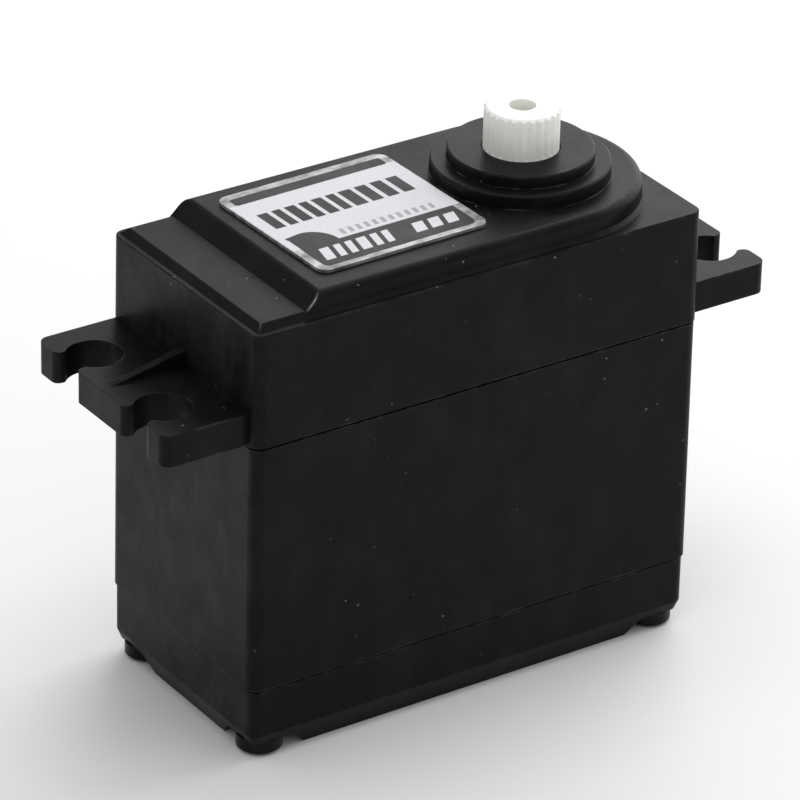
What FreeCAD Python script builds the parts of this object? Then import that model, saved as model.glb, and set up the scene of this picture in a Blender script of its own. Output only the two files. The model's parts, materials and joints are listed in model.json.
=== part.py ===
import FreeCAD, Part
import math
import os

from FreeCAD import Vector

# A hobby servo motor of the standard size. Millimetres.
# Origin: centre of the four mounting holes, on the underside of the two tabs.
# +X points to the output shaft's end of the case, +Z points up along the output shaft.

# ---- driving dimensions: the case ----
CASE_LENGTH = 40.7
CASE_WIDTH = 20.5
CASE_CORNER_R = 1.0
WALL = 1.2
UPPER_SEAM_Z = -0.06
LOWER_SEAM_Z = -20.9
BOTTOM_Z = -27.1
MIDDLE_TOP_INSET = 0.07
MIDDLE_FOOT_INSET = -0.05
SEAM_GROOVE_HEIGHT = 0.18
SEAM_GROOVE_DEPTH = 0.3
FIT_GAP = 0.05

# top case: wall, then a low pad, then the platform that carries the label and the boss
LEDGE_Z = 9.3
PAD_Z = 9.83
PLATFORM_Z = 11.08
RING_1_Z = 12.23
RING_2_Z = 13.2
RING_1_R = 7.0
RING_2_R = 5.72
TOP_DRAFT = 0.08
LEDGE_WIDTH = 0.45
PAD_SLOPE = 0.98
PAD_END_X = -19.82
PAD_EDGE_BREAK = 0.1
PLATFORM_HALF_WIDTH = 9.45
PLATFORM_SIDE_SLOPE = 0.06
PLATFORM_END_X = -15.98
PLATFORM_END_SLOPE = 1.0
PLATFORM_ROUNDING = 0.63
ROOF_Z = 9.9
CHAMBER_Z = 8.0

# mounting tabs
TAB_THICKNESS = 2.6
TABS_LENGTH = 55.0
TAB_WIDTH = 18.3
TAB_CORNER_R = 0.9
HOLE_SPACING_X = 50.0
HOLE_SPACING_Y = 9.8
HOLE_R = 2.2
SLOT_WIDTH = 2.9
SLOT_MOUTH_R = 0.6
GUSSET_WIDTH = 0.6
GUSSET_HEIGHT = 1.35
GUSSET_END = 0.9

# deck of the middle case, which carries the gears
DECK_TOP_Z = -0.4
DECK_BOTTOM_Z = -2.6

# bottom cover
COVER_INSET = 0.1
COVER_SIDE_END_Z = -25.0
COVER_CHAMFER = 0.8
COVER_FLOOR_Z = -25.2
SCREW_RECESS = 4.1
SCREW_RECESS_FLARE = 0.9
SCREW_RECESS_Z = -25.8

# case screws
SCREW_X = 18.3
SCREW_Y = 8.1
SCREW_POST_R = 2.1
SCREW_R = 1.0
SCREW_THREAD_R = 1.1
SCREW_THREAD_PITCH = 0.8
SCREW_THREADS = 8
SCREW_TIP_Z = 6.0
SCREW_HOLE_R = 1.15
SCREW_HEAD_R = 1.8

# ---- driving dimensions: the gear train ----
OUTPUT_X = 10.15
OUTPUT_Y = 0.0
CENTRE_PIN_Y = -2.4
SECOND_PIN_Y = 2.7
MOTOR_Y = 0.0
PIN_R = 0.75
PIN_HOLE_R = 0.80
PIN_BOTTOM_Z = -2.4
PIN_TOP_Z = 9.5
PRESSURE_ANGLE = math.radians(20)
SHIFT = 0.41
BACKLASH = 0.03

# (module, pinion teeth, wheel teeth) of each stage, from the motor to the output
STAGE_1 = (0.30, 10, 40)
STAGE_2 = (0.30, 10, 39)
STAGE_3 = (0.35, 10, 32)
STAGE_4 = (0.45, 10, 35)

# heights of each wheel and pinion
MOTOR_PINION_Z = (0.0, 1.8)
GEAR_1_WHEEL_Z = (0.3, 1.5)
GEAR_1_PINION_Z = (1.5, 3.7)
GEAR_2_WHEEL_Z = (2.1, 3.3)
GEAR_2_PINION_Z = (3.3, 5.5)
GEAR_3_WHEEL_Z = (4.1, 5.2)
GEAR_3_PINION_Z = (5.2, 7.7)
OUTPUT_WHEEL_Z = (5.7, 7.3)
GEAR_1_FOOT_Z = -0.2
GEAR_3_FOOT_Z = 3.85
GEAR_HUB_R = 1.5

# output gear, from the lower journal up to the spline
SPLINE_TOP_Z = 16.6
SPLINE_TEETH = 25
SPLINE_TIP_R = 2.95
SPLINE_ROOT_R = 2.78
NECK_R = 2.95
HORN_SCREW_HOLE_R = 1.05
HORN_SCREW_HOLE_DEPTH = 7.0
OUTPUT_HUB_R = 3.4
LUG_TIP_R = 6.5
LUG_Z = (2.0, 3.6)
LUG_HALF_ANGLE = 9.0
STOP_R = (5.3, 6.9)
STOP_TOP_Z = 3.3
STOP_HALF_ANGLE = 74.0

# ball bearings: bore radius, outer radius, lowest z, highest z, ball radius, ball count
UPPER_BEARING = (4.0, 6.0, 8.1, 11.6, 0.65, 13)
LOWER_BEARING = (2.5, 5.0, -3.4, -0.4, 0.75, 9)
BEARING_RELIEF = 0.3
LIP_HOLE_R = 3.05
RACE_GAP = 0.02

# ---- driving dimensions: the motor ----
MOTOR_R = 8.3
MOTOR_TOP_Z = DECK_BOTTOM_Z
MOTOR_BOTTOM_Z = -19.0
MOTOR_WALL = 0.6
MOTOR_NOSE_R = 2.0
MOTOR_NOSE_Z = -1.0
MOTOR_SHAFT_R = 1.0
MOTOR_SCREW_SPACING = 10.0
MOTOR_SCREW_HEAD_R = 1.6
MOTOR_SCREW_HEAD_Z = (-1.4, -0.65)
MAGNET_R = (5.9, 7.65)
MAGNET_Z = (-15.5, -4.5)
ARMATURE_R = 5.55
ARMATURE_Z = (-14.0, -6.0)
COMMUTATOR_R = 1.9
COMMUTATOR_Z = (-18.4, -16.0)
END_BELL_Z = -20.6

# ---- driving dimensions: the position sensor and the circuit board ----
POT_R = 5.6
POT_Z = (-9.8, -4.2)
POT_SHAFT_R = 1.48
POT_SHAFT_TOP_Z = 0.9
BOARD_Z = (-23.4, -22.4)
BOARD_X = 17.6
BOARD_Y = 8.2
BOARD_NOTCH_X = 15.2
BOARD_NOTCH_Y = 5.0

# ---- driving dimensions: the label and the cable gland ----
LABEL_CENTRE = (-5.02, 0.35)
LABEL_SIZE = (15.3, 14.4)
LABEL_TURN = 1.3
LABEL_THICKNESS = 0.25
LABEL_CORNER_R = 0.9
GLAND_Z = -20.9
GLAND_WIDTH = 5.0
GLAND_HEIGHT = 3.0
GLAND_FLANGE = 0.7
GLAND_OUT = 1.0
LEAD_SLOT = (4.0, 1.4)

NODES = {}


# ---- small helpers ----
def cylinder(x, y, z0, z1, r):
    return Part.makeCylinder(r, z1 - z0, Vector(x, y, z0))


def tube(x, y, z0, z1, outer_r, inner_r):
    margin = 1.0
    return cylinder(x, y, z0, z1, outer_r).cut(cylinder(x, y, z0 - margin, z1 + margin, inner_r))


def block(x, y, z):
    return Part.makeBox(x[1] - x[0], y[1] - y[0], z[1] - z[0], Vector(x[0], y[0], z[0]))


def polygon(points):
    return Part.makePolygon(list(points) + [points[0]])


def prism(wire, height):
    return Part.Face(wire).extrude(Vector(0, 0, height))


def rounded_rectangle(x, y, z, r):
    """A closed wire in the plane at z, with its four corners rounded."""
    corners = [(x[1] - r, y[1] - r, 0), (x[0] + r, y[1] - r, 90)]
    corners += [(x[0] + r, y[0] + r, 180), (x[1] - r, y[0] + r, 270)]
    edges = []
    last = None
    first = None
    for cx, cy, start in corners:
        points = []
        for degrees in (start, start + 45, start + 90):
            a = math.radians(degrees)
            points.append(Vector(cx + r * math.cos(a), cy + r * math.sin(a), z))
        if last is not None:
            edges.append(Part.makeLine(last, points[0]))
        else:
            first = points[0]
        edges.append(Part.Arc(*points).toShape())
        last = points[2]
    edges.append(Part.makeLine(last, first))
    return Part.Wire(edges)


def case_outline(inset, z):
    """The case's outline at a height, drawn in from the full size by inset."""
    x = CASE_LENGTH / 2 - inset
    y = CASE_WIDTH / 2 - inset
    return rounded_rectangle((-x, x), (-y, y), z, max(CASE_CORNER_R - inset, 0.3))


def case_block(inset, z0, z1):
    return prism(case_outline(inset, z0), z1 - z0)


def screw_places():
    return [(sx * SCREW_X, sy * SCREW_Y) for sx in (-1, 1) for sy in (-1, 1)]


def fused(first, *others):
    return first.fuse(list(others)).removeSplitter()


def sector(x, y, z, radii, middle, half_angle):
    """A piece of a ring between two radii, centred on the direction middle (degrees)."""
    def at(r, degrees):
        a = math.radians(degrees)
        return Vector(x + r * math.cos(a), y + r * math.sin(a), z[0])

    low, high = middle - half_angle, middle + half_angle
    outer = Part.Arc(at(radii[1], low), at(radii[1], middle), at(radii[1], high)).toShape()
    inner = Part.Arc(at(radii[0], high), at(radii[0], middle), at(radii[0], low)).toShape()
    inward = Part.makeLine(at(radii[1], high), at(radii[0], high))
    outward = Part.makeLine(at(radii[0], low), at(radii[1], low))
    return prism(Part.Wire([outer, inward, inner, outward]), z[1] - z[0])


def revolved(x, y, profile):
    """A solid of revolution about the vertical line at x, y. The profile is a list of (radius, z)."""
    points = [Vector(x + r, y, z) for r, z in profile]
    return Part.Face(polygon(points)).revolve(Vector(x, y, 0), Vector(0, 0, 1), 360)


# ---- gear geometry ----
def centre_distance(stage):
    module, pinion, wheel = stage
    return module * (pinion + wheel) / 2


def shafts():
    """Axis positions: the output is given, and each other shaft follows from its centre distance."""
    output = (OUTPUT_X, OUTPUT_Y)
    reach = math.sqrt(centre_distance(STAGE_4) ** 2 - (OUTPUT_Y - CENTRE_PIN_Y) ** 2)
    centre = (OUTPUT_X - reach, CENTRE_PIN_Y)
    reach = math.sqrt(centre_distance(STAGE_2) ** 2 - (SECOND_PIN_Y - CENTRE_PIN_Y) ** 2)
    second = (centre[0] - reach, SECOND_PIN_Y)
    reach = math.sqrt(centre_distance(STAGE_1) ** 2 - (MOTOR_Y - CENTRE_PIN_Y) ** 2)
    motor = (centre[0] - reach, MOTOR_Y)
    return output, centre, second, motor


OUTPUT, CENTRE, SECOND, MOTOR = shafts()


def involute(angle):
    return math.tan(angle) - angle


def gear_outline(module, teeth, shift, place, turn, z):
    """An involute gear's outline, with a short radial root below the base circle."""
    flank_points = 4
    pitch_r = module * teeth / 2
    base_r = pitch_r * math.cos(PRESSURE_ANGLE)
    tip_r = pitch_r + module * (1 + shift)
    root_r = pitch_r - module * (1.25 - shift)
    half_at_pitch = (math.pi / 2 + 2 * shift * math.tan(PRESSURE_ANGLE)) / teeth - BACKLASH / (2 * pitch_r)
    start_r = max(base_r, root_r)
    flank = []
    if root_r < base_r:
        flank.append((root_r, half_at_pitch + involute(PRESSURE_ANGLE)))
    for k in range(flank_points):
        r = start_r + (tip_r - start_r) * k / (flank_points - 1)
        flank.append((r, half_at_pitch + involute(PRESSURE_ANGLE) - involute(math.acos(base_r / r))))
    points = []
    for tooth in range(teeth):
        middle = turn + 2 * math.pi * tooth / teeth
        for r, half in flank:
            points.append((r, middle - half))
        for r, half in reversed(flank):
            points.append((r, middle + half))
    return polygon([Vector(place[0] + r * math.cos(a), place[1] + r * math.sin(a), z) for r, a in points])


def gear(module, teeth, shift, place, turn, z):
    return prism(gear_outline(module, teeth, shift, place, turn, z[0]), z[1] - z[0])


def meshing_turn(place, teeth, turn, other_place, other_teeth):
    """The turn of the other gear at which its tooth space faces this gear's tooth on the line of centres."""
    line = math.atan2(other_place[1] - place[1], other_place[0] - place[0])
    phase = (line - turn) * teeth / (2 * math.pi)
    return line + math.pi - (0.5 - phase) * 2 * math.pi / other_teeth


def train_turns():
    """Turn of each toothed ring at rest, from the output gear back to the motor pinion."""
    turns = {"output": 0.0}
    turns["gear_3"] = meshing_turn(OUTPUT, STAGE_4[2], turns["output"], CENTRE, STAGE_4[1])
    turns["gear_2"] = meshing_turn(CENTRE, STAGE_3[2], turns["gear_3"], SECOND, STAGE_3[1])
    turns["gear_1"] = meshing_turn(SECOND, STAGE_2[2], turns["gear_2"], CENTRE, STAGE_2[1])
    turns["motor"] = meshing_turn(CENTRE, STAGE_1[2], turns["gear_1"], MOTOR, STAGE_1[1])
    return turns


TURNS = train_turns()


def compound_gear(place, turn, wheel, wheel_z, pinion, pinion_z, foot_z):
    """A moulded double gear: a wheel, the pinion on top of it and a short foot under it."""
    body = gear(wheel[0], wheel[2], -SHIFT, place, turn, wheel_z)
    body = body.fuse(gear(pinion[0], pinion[1], SHIFT, place, turn, pinion_z))
    if foot_z < wheel_z[0]:
        body = body.fuse(cylinder(place[0], place[1], foot_z, wheel_z[0], GEAR_HUB_R))
    bore = cylinder(place[0], place[1], foot_z - 1, pinion_z[1] + 1, PIN_HOLE_R)
    return body.removeSplitter().cut(bore)


# ---- the case ----
def seam_groove(z0, z1):
    """The ring of material taken off the outside at a seam."""
    return case_block(-1.0, z0, z1).cut(case_block(SEAM_GROOVE_DEPTH, z0 - 1, z1 + 1))


def platform_outline(end_x, half_width, z):
    """Straight sides, a square end over the motor and a round end about the output."""
    near = Vector(OUTPUT_X, -half_width, z)
    tip = Vector(OUTPUT_X + half_width, 0, z)
    far = Vector(OUTPUT_X, half_width, z)
    end_far = Vector(end_x, half_width, z)
    end_near = Vector(end_x, -half_width, z)
    edges = [Part.makeLine(end_near, near), Part.Arc(near, tip, far).toShape()]
    edges += [Part.makeLine(far, end_far), Part.makeLine(end_far, end_near)]
    return Part.Wire(edges)


def raised_form(end_x, end_slope, half_width, side_slope, top_z, rounding):
    """A drafted block that stands on the ledge, with its top edge rounded. Sizes are taken at the ledge."""
    sunk = 0.1
    height = top_z - LEDGE_Z
    low = platform_outline(end_x - end_slope * sunk, half_width + side_slope * sunk, LEDGE_Z - sunk)
    high = platform_outline(end_x + end_slope * height, half_width - side_slope * height, top_z)
    solid = Part.makeLoft([low, high], True, True)
    top_edges = [e for e in solid.Edges if e.BoundBox.ZMin > top_z - 1e-3]
    return solid.makeFillet(rounding, top_edges)


def pad():
    half_width = CASE_WIDTH / 2 - TOP_DRAFT - LEDGE_WIDTH
    return raised_form(PAD_END_X, PAD_SLOPE, half_width, PAD_SLOPE, PAD_Z, PAD_EDGE_BREAK)


def platform():
    end = (PLATFORM_END_X, PLATFORM_END_SLOPE)
    side = (PLATFORM_HALF_WIDTH, PLATFORM_SIDE_SLOPE)
    return raised_form(*end, *side, PLATFORM_Z, PLATFORM_ROUNDING)


def slot(sx, sy):
    """A screw hole and the slot that opens it to the tab's end, with the two corners of its mouth rounded."""
    x, y = sx * HOLE_SPACING_X / 2, sy * HOLE_SPACING_Y / 2
    end_x = sx * TABS_LENGTH / 2
    z = (-1, TAB_THICKNESS + 1)
    half = SLOT_WIDTH / 2
    opening = cylinder(x, y, z[0], z[1], HOLE_R)
    opening = opening.fuse(block(sorted((x, end_x + sx)), (y - half, y + half), z))
    for side in (-1, 1):
        mouth_x = sorted((end_x - sx * SLOT_MOUTH_R, end_x + sx))
        mouth_y = sorted((y + side * half, y + side * (half + SLOT_MOUTH_R)))
        corner = block(mouth_x, mouth_y, z)
        post = cylinder(end_x - sx * SLOT_MOUTH_R, y + side * (half + SLOT_MOUTH_R), z[0], z[1], SLOT_MOUTH_R)
        opening = opening.fuse(corner.cut(post))
    return opening


def gusset(sx):
    """The thin sloped rib along the middle of a tab, highest at the case wall."""
    wall_x = sx * (CASE_LENGTH / 2 - TOP_DRAFT)
    foot_x = sx * (TABS_LENGTH / 2 - GUSSET_END)
    points = [(foot_x, TAB_THICKNESS), (wall_x, TAB_THICKNESS + GUSSET_HEIGHT)]
    points += [(wall_x, TAB_THICKNESS - 0.5), (foot_x, TAB_THICKNESS - 0.5)]
    rib = polygon([Vector(x, -GUSSET_WIDTH / 2, z) for x, z in points])
    return Part.Face(rib).extrude(Vector(0, GUSSET_WIDTH, 0))


def tabs():
    half = TABS_LENGTH / 2
    outline = rounded_rectangle((-half, half), (-TAB_WIDTH / 2, TAB_WIDTH / 2), 0, TAB_CORNER_R)
    plate = prism(outline, TAB_THICKNESS)
    for sx in (-1, 1):
        plate = plate.fuse(gusset(sx))
        for sy in (-1, 1):
            plate = plate.cut(slot(sx, sy))
    return plate


def ring(r, z, foot_z):
    """One step of the boss round the output, with its upper edge broken."""
    edge_break = 0.12
    profile = [(0, foot_z), (r, foot_z), (r, z - edge_break), (r - edge_break, z), (0, z)]
    return revolved(OUTPUT_X, OUTPUT_Y, profile)


def top_case():
    wall = Part.makeLoft([case_outline(0, UPPER_SEAM_Z), case_outline(TOP_DRAFT, LEDGE_Z)], True, True)
    wall_edges = [e for e in wall.Edges if e.BoundBox.ZMin > LEDGE_Z - 1e-3]
    wall = wall.makeFillet(0.1, wall_edges)
    shell = wall.fuse([pad(), platform()])
    shell = shell.fuse([ring(RING_1_R, RING_1_Z, LEDGE_Z), ring(RING_2_R, RING_2_Z, LEDGE_Z), tabs()])
    inner_x = CASE_LENGTH / 2 - WALL
    inner_y = CASE_WIDTH / 2 - WALL
    chamber = prism(rounded_rectangle((-inner_x, inner_x), (-inner_y, inner_y), -1, 0.6), CHAMBER_Z + 1)
    for x, y in screw_places():
        chamber = chamber.cut(cylinder(x, y, -1, CHAMBER_Z + 1, SCREW_POST_R))
        corner_x = sorted((x, x + math.copysign(3, x)))
        corner_y = sorted((y, y + math.copysign(3, y)))
        chamber = chamber.cut(block(corner_x, corner_y, (-1, CHAMBER_Z + 1)))
    shell = shell.cut(chamber)
    roof_pocket = block((-13.5, OUTPUT_X - 8.0), (-7.4, 7.4), (CHAMBER_Z - 0.5, ROOF_Z))
    shell = shell.cut(roof_pocket)
    for place, foot_z in ((CENTRE, CHAMBER_Z), (SECOND, 5.9)):
        shell = shell.fuse(cylinder(place[0], place[1], foot_z, ROOF_Z + 0.2, 1.7))
        shell = shell.cut(cylinder(place[0], place[1], foot_z - 0.5, PIN_TOP_Z + 0.1, PIN_R))
    bearing_r, bearing_top = UPPER_BEARING[1], UPPER_BEARING[3]
    shell = shell.cut(cylinder(OUTPUT_X, OUTPUT_Y, CHAMBER_Z - 0.5, bearing_top, bearing_r))
    relief_top = bearing_top + BEARING_RELIEF
    shell = shell.cut(cylinder(OUTPUT_X, OUTPUT_Y, bearing_top - 0.5, relief_top, bearing_r - 0.9))
    shell = shell.cut(cylinder(OUTPUT_X, OUTPUT_Y, bearing_top - 0.5, RING_2_Z + 1, LIP_HOLE_R))
    for x, y in screw_places():
        shell = shell.cut(cylinder(x, y, -1, SCREW_TIP_Z + 1, SCREW_THREAD_R + 0.02))
    return shell.removeSplitter()


def middle_case():
    outlines = [case_outline(MIDDLE_FOOT_INSET, LOWER_SEAM_Z), case_outline(MIDDLE_TOP_INSET, UPPER_SEAM_Z)]
    body = Part.makeLoft(outlines, True, True)
    body = body.cut(seam_groove(UPPER_SEAM_Z - SEAM_GROOVE_HEIGHT, UPPER_SEAM_Z + 1))
    inner_x = CASE_LENGTH / 2 - WALL
    inner_y = CASE_WIDTH / 2 - WALL
    floor_wire = rounded_rectangle((-inner_x, inner_x), (-inner_y, inner_y), LOWER_SEAM_Z - 1, 0.6)
    hollow = prism(floor_wire, DECK_BOTTOM_Z - LOWER_SEAM_Z + 1)
    for x, y in screw_places():
        hollow = hollow.cut(cylinder(x, y, LOWER_SEAM_Z - 1, 0, SCREW_POST_R))
        corner_x = sorted((x, x + math.copysign(3, x)))
        corner_y = sorted((y, y + math.copysign(3, y)))
        hollow = hollow.cut(block(corner_x, corner_y, (LOWER_SEAM_Z - 1, 0)))
    body = body.cut(hollow)
    well = prism(rounded_rectangle((-inner_x, inner_x), (-inner_y, inner_y), DECK_TOP_Z, 0.6), 1)
    for x, y in screw_places():
        well = well.cut(cylinder(x, y, DECK_TOP_Z, 1, SCREW_POST_R))
    body = body.cut(well)
    bore_r, seat_r, seat_bottom, seat_top = LOWER_BEARING[:4]
    body = body.fuse(cylinder(OUTPUT_X, OUTPUT_Y, POT_Z[0] + 0.8, DECK_TOP_Z, POT_R + 1.0))
    body = body.cut(cylinder(OUTPUT_X, OUTPUT_Y, POT_Z[0], POT_Z[1] + FIT_GAP, POT_R + FIT_GAP))
    body = body.cut(cylinder(OUTPUT_X, OUTPUT_Y, seat_bottom, seat_top + 1, seat_r))
    body = body.cut(cylinder(OUTPUT_X, OUTPUT_Y, POT_Z[1] - 1, seat_bottom + 1, bore_r + 1.2))
    stop = sector(OUTPUT_X, OUTPUT_Y, (DECK_TOP_Z - 0.2, STOP_TOP_Z), STOP_R, 0, STOP_HALF_ANGLE)
    body = body.fuse(stop)
    for place in (CENTRE, SECOND):
        body = body.cut(cylinder(place[0], place[1], PIN_BOTTOM_Z, 1, PIN_R))
    body = body.cut(cylinder(MOTOR[0], MOTOR[1], DECK_BOTTOM_Z - 1, 1, MOTOR_NOSE_R + 0.1))
    for side in (-1, 1):
        y = MOTOR[1] + side * MOTOR_SCREW_SPACING / 2
        body = body.cut(cylinder(MOTOR[0], y, DECK_BOTTOM_Z - 1, 1, 0.9))
        body = body.cut(cylinder(MOTOR[0], y, MOTOR_SCREW_HEAD_Z[0], 1, MOTOR_SCREW_HEAD_R + 0.1))
    for x, y in screw_places():
        body = body.cut(cylinder(x, y, LOWER_SEAM_Z - 1, 1, SCREW_HOLE_R))
    return body.cut(gland_notch()).removeSplitter()


def cover_block():
    """The bottom cover's outside, chamfered along its lower edge."""
    side = case_block(COVER_INSET, COVER_SIDE_END_Z, LOWER_SEAM_Z)
    low = case_outline(COVER_INSET + COVER_CHAMFER, BOTTOM_Z)
    foot = Part.makeLoft([case_outline(COVER_INSET, COVER_SIDE_END_Z), low], True, True)
    return side.fuse(foot)


def screw_recess(sx, sy):
    """The corner cut under the cover that leaves room for a screw head, with slanted inner sides."""
    out = 3.0
    low = BOTTOM_Z - 0.5
    reach = SCREW_RECESS + SCREW_RECESS_FLARE * (SCREW_RECESS_Z - low)
    wires = []
    for z, r in ((low, reach), (SCREW_RECESS_Z, SCREW_RECESS)):
        x = sorted((sx * (CASE_LENGTH / 2 - r), sx * (CASE_LENGTH / 2 + out)))
        y = sorted((sy * (CASE_WIDTH / 2 - r), sy * (CASE_WIDTH / 2 + out)))
        wires.append(rounded_rectangle(x, y, z, 0.6))
    return Part.makeLoft(wires, True, True)


def bottom_cover():
    body = cover_block()
    body = body.cut(seam_groove(LOWER_SEAM_Z - SEAM_GROOVE_HEIGHT, LOWER_SEAM_Z + 1))
    for sx in (-1, 1):
        for sy in (-1, 1):
            body = body.cut(screw_recess(sx, sy))
    inner_x = CASE_LENGTH / 2 - COVER_INSET - WALL
    inner_y = CASE_WIDTH / 2 - COVER_INSET - WALL
    floor_wire = rounded_rectangle((-inner_x, inner_x), (-inner_y, inner_y), COVER_FLOOR_Z, 0.6)
    hollow = prism(floor_wire, LOWER_SEAM_Z - COVER_FLOOR_Z + 1)
    for x, y in screw_places():
        hollow = hollow.cut(cylinder(x, y, COVER_FLOOR_Z, 0, SCREW_POST_R))
        corner_x = sorted((x, x + math.copysign(3, x)))
        corner_y = sorted((y, y + math.copysign(3, y)))
        hollow = hollow.cut(block(corner_x, corner_y, (COVER_FLOOR_Z, 0)))
    body = body.cut(hollow)
    tongue_y = CASE_WIDTH / 2 - WALL - FIT_GAP
    for side in (-1, 1):
        y = sorted((side * tongue_y, side * (tongue_y - 0.6)))
        body = body.fuse(block((-9, 9), y, (COVER_FLOOR_Z, LOWER_SEAM_Z + 0.6)))
        rail_y = sorted((side * inner_y, side * (inner_y - 0.3)))
        body = body.fuse(block((-10, 10), rail_y, (COVER_FLOOR_Z, BOARD_Z[0])))
        for x in (-12.0, 12.0):
            body = body.fuse(cylinder(x, side * 6.4, COVER_FLOOR_Z - 0.1, BOARD_Z[0], 0.9))
    for x, y in screw_places():
        body = body.cut(cylinder(x, y, BOTTOM_Z - 1, 0, SCREW_HOLE_R))
    return body.cut(gland_notch()).removeSplitter()


def gland_notch():
    """The opening through the end wall, half in the middle case and half in the bottom cover."""
    x = CASE_LENGTH / 2
    half_w = GLAND_WIDTH / 2
    half_h = GLAND_HEIGHT / 2
    return block((x - 3, x + 3), (-half_w, half_w), (GLAND_Z - half_h, GLAND_Z + half_h))


def flat_plate(x, half_w, half_h, r):
    """A rounded upright plate in the end wall's plane, centred on the gland."""
    wire = rounded_rectangle((-half_h, half_h), (-half_w, half_w), 0, r)
    plate = prism(wire, x[1] - x[0])
    plate.rotate(Vector(0, 0, 0), Vector(0, 1, 0), 90)
    plate.translate(Vector(x[0], 0, GLAND_Z))
    return plate


def cable_gland():
    wall_out = CASE_LENGTH / 2 - MIDDLE_FOOT_INSET
    wall_in = CASE_LENGTH / 2 - COVER_INSET - WALL
    half_w = GLAND_WIDTH / 2
    half_h = GLAND_HEIGHT / 2
    body = flat_plate((wall_in - 0.8, wall_out + GLAND_OUT), half_w - 0.02, half_h - 0.02, 0.3)
    flange_x = (wall_out, wall_out + GLAND_OUT)
    body = body.fuse(flat_plate(flange_x, half_w + GLAND_FLANGE, half_h + GLAND_FLANGE, 0.9))
    body = body.fuse(flat_plate((wall_in - 0.8, wall_in), half_w + 0.5, half_h + 0.5, 0.5))
    slot_w, slot_h = LEAD_SLOT[0] / 2, LEAD_SLOT[1] / 2
    lead_way = flat_plate((wall_in - 2, wall_out + 3), slot_w, slot_h, slot_h - 0.01)
    return body.cut(lead_way).removeSplitter()


def label():
    half_x, half_y = LABEL_SIZE[0] / 2, LABEL_SIZE[1] / 2
    plate = prism(rounded_rectangle((-half_x, half_x), (-half_y, half_y), 0, LABEL_CORNER_R), LABEL_THICKNESS)
    plate.rotate(Vector(0, 0, 0), Vector(0, 0, 1), LABEL_TURN)
    plate.translate(Vector(LABEL_CENTRE[0], LABEL_CENTRE[1], PLATFORM_Z))
    return plate


def case_screw(x, y):
    """A long pan-head self-tapping screw, head down, with a cross recess and ridges near its tip."""
    head = SCREW_HEAD_R
    thread_z = SCREW_TIP_Z - 0.6 - SCREW_THREADS * SCREW_THREAD_PITCH
    profile = [(0, BOTTOM_Z), (head - 0.35, BOTTOM_Z), (head, BOTTOM_Z + 0.3), (head, SCREW_RECESS_Z)]
    profile += [(SCREW_R, SCREW_RECESS_Z), (SCREW_R, thread_z)]
    for k in range(SCREW_THREADS):
        z = thread_z + k * SCREW_THREAD_PITCH
        profile += [(SCREW_THREAD_R, z + SCREW_THREAD_PITCH / 2), (SCREW_R - 0.2, z + SCREW_THREAD_PITCH)]
    profile += [(0, SCREW_TIP_Z)]
    screw = revolved(x, y, profile)
    arm_z = (BOTTOM_Z - 1, BOTTOM_Z + 0.6)
    for half_x, half_y in ((0.95, 0.2), (0.2, 0.95)):
        screw = screw.cut(block((x - half_x, x + half_x), (y - half_y, y + half_y), arm_z))
    return screw


def case_screws():
    return [case_screw(x, y) for x, y in screw_places()]


# ---- the gear train ----
def pin(place):
    chamfer = 0.15
    profile = [(0, PIN_BOTTOM_Z), (PIN_R - chamfer, PIN_BOTTOM_Z), (PIN_R, PIN_BOTTOM_Z + chamfer)]
    profile += [(PIN_R, PIN_TOP_Z - chamfer), (PIN_R - chamfer, PIN_TOP_Z), (0, PIN_TOP_Z)]
    return revolved(place[0], place[1], profile)


def motor_pinion():
    body = gear(STAGE_1[0], STAGE_1[1], SHIFT, MOTOR, TURNS["motor"], MOTOR_PINION_Z)
    return body.cut(cylinder(MOTOR[0], MOTOR[1], -1, 3, MOTOR_SHAFT_R))


def spline(z0, z1):
    points = []
    for tooth in range(SPLINE_TEETH):
        for part, r in ((0.0, SPLINE_ROOT_R), (0.42, SPLINE_TIP_R), (0.58, SPLINE_TIP_R)):
            a = 2 * math.pi * (tooth + part) / SPLINE_TEETH
            points.append(Vector(OUTPUT_X + r * math.cos(a), OUTPUT_Y + r * math.sin(a), z0))
    teeth = prism(polygon(points), z1 - z0)
    lead = 0.25
    cap = [(0, z0 - 1), (SPLINE_TIP_R + 1, z0 - 1), (SPLINE_TIP_R + 1, z1 - 1 - lead)]
    cap += [(SPLINE_TIP_R - lead, z1), (0, z1)]
    return teeth.common(revolved(OUTPUT_X, OUTPUT_Y, cap))


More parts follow.
